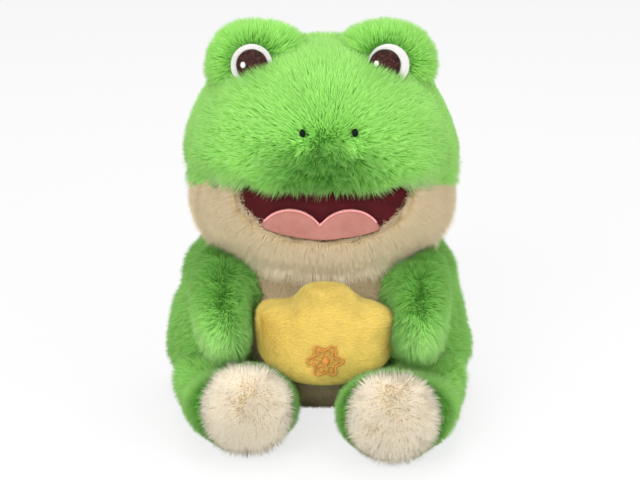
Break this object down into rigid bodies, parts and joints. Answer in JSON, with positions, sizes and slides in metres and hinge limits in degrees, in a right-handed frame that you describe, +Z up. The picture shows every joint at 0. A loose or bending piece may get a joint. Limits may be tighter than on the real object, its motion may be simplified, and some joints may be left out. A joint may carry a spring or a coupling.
{
  "type": "plush frog",
  "caption": "Seated green plush frog with domed eyes and an open smiling mouth, holding a yellow cushion ingot on its cream belly between its arms.",
  "frame": {"origin": "centre of the seat, on the plane that the frog sits on", "axes": "+Z up, the frog faces -Y and its own left side is +X"},
  "size_m": [0.1882, 0.2135, 0.236],
  "materials": {
    "torso_skin": "medium-pile plush, leaf green",
    "belly_panel": "medium-pile plush, cream",
    "torso_stuffing": "polyester fibre filling",
    "pellet_bag": "bag of plastic pellets",
    "ingot_skin": "short brushed plush, yellow",
    "ingot_stuffing": "polyester fibre filling",
    "ingot_dome": "short brushed plush, yellow",
    "ingot_motif": "orange satin stitch",
    "ingot_motif_centre": "orange satin stitch",
    "head_skin": "medium-pile plush, leaf green",
    "head_stuffing": "polyester fibre filling",
    "jaw_skin": "medium-pile plush, cream",
    "nape_skin": "medium-pile plush, leaf green",
    "jaw_stuffing": "polyester fibre filling",
    "mouth_lining": "dark red velvet",
    "tongue": "pink velvet",
    "tongue_edging": "pink satin stitch",
    "eye_mound_skin_left": "medium-pile plush, leaf green",
    "eye_mound_skin_right": "medium-pile plush, leaf green",
    "eye_stuffing_left": "polyester fibre filling",
    "eye_stuffing_right": "polyester fibre filling",
    "eye_white_left": "white satin fabric",
    "eye_white_right": "white satin fabric",
    "pupil_left": "dark brown embroidery",
    "pupil_right": "dark brown embroidery",
    "glint_left": "white embroidery",
    "glint_right": "white embroidery",
    "nostril_left": "dark green embroidery",
    "nostril_right": "dark green embroidery",
    "arm_skin_left": "medium-pile plush, leaf green with lighter tips",
    "arm_stuffing_left": "polyester fibre filling",
    "arm_skin_right": "medium-pile plush, leaf green with lighter tips",
    "arm_stuffing_right": "polyester fibre filling",
    "leg_skin_left": "medium-pile plush, leaf green",
    "leg_stuffing_left": "polyester fibre filling",
    "sole_pad_left": "medium-pile plush, cream, padded",
    "leg_skin_right": "medium-pile plush, leaf green",
    "leg_stuffing_right": "polyester fibre filling",
    "sole_pad_right": "medium-pile plush, cream, padded"
  },
  "bodies": {
    "torso": {"torso_skin": "torso_skin", "belly_panel": "belly_panel", "torso_stuffing": "torso_stuffing", "pellet_bag": "pellet_bag", "ingot_skin": "ingot_skin", "ingot_stuffing": "ingot_stuffing", "ingot_dome": "ingot_dome", "ingot_motif": "ingot_motif", "ingot_motif_centre": "ingot_motif_centre"},
    "head": {"head_skin": "head_skin", "head_stuffing": "head_stuffing", "jaw_skin": "jaw_skin", "nape_skin": "nape_skin", "jaw_stuffing": "jaw_stuffing", "mouth_lining": "mouth_lining", "tongue": "tongue", "tongue_edging": "tongue_edging", "eye_mound_skin_left": "eye_mound_skin_left", "eye_mound_skin_right": "eye_mound_skin_right", "eye_stuffing_left": "eye_stuffing_left", "eye_stuffing_right": "eye_stuffing_right", "eye_white_left": "eye_white_left", "eye_white_right": "eye_white_right", "pupil_left": "pupil_left", "pupil_right": "pupil_right", "glint_left": "glint_left", "glint_right": "glint_right", "nostril_left": "nostril_left", "nostril_right": "nostril_right"},
    "arm_left": {"arm_skin_left": "arm_skin_left", "arm_stuffing_left": "arm_stuffing_left"},
    "arm_right": {"arm_skin_right": "arm_skin_right", "arm_stuffing_right": "arm_stuffing_right"},
    "leg_left": {"leg_skin_left": "leg_skin_left", "leg_stuffing_left": "leg_stuffing_left", "sole_pad_left": "sole_pad_left"},
    "leg_right": {"leg_skin_right": "leg_skin_right", "leg_stuffing_right": "leg_stuffing_right", "sole_pad_right": "sole_pad_right"}
  },
  "joints": [
    {"name": "head_turn", "type": "hinge", "parent": "torso", "child": "head", "pos_m": [0, 0.005, 0.1085], "axis": [0, -0.2924, 0.9563], "range_deg": [-20, 20], "stiffness_Nm_per_rad": 0.4},
    {"name": "arm_left_spread", "type": "hinge", "parent": "torso", "child": "arm_left", "pos_m": [0.079, -0.013, 0.088], "axis": [0, -0.2924, 0.9563], "range_deg": [0, 25], "stiffness_Nm_per_rad": 0.1},
    {"name": "arm_right_spread", "type": "hinge", "parent": "torso", "child": "arm_right", "pos_m": [-0.079, -0.013, 0.088], "axis": [0, 0.2924, -0.9563], "range_deg": [0, 25], "stiffness_Nm_per_rad": 0.1},
    {"name": "leg_left_spread", "type": "hinge", "parent": "torso", "child": "leg_left", "pos_m": [0.093, -0.018, 0], "axis": [0, 0, 1], "range_deg": [0, 20], "stiffness_Nm_per_rad": 0.2},
    {"name": "leg_right_spread", "type": "hinge", "parent": "torso", "child": "leg_right", "pos_m": [-0.093, -0.018, 0], "axis": [0, 0, -1], "range_deg": [0, 20], "stiffness_Nm_per_rad": 0.2}
  ]
}
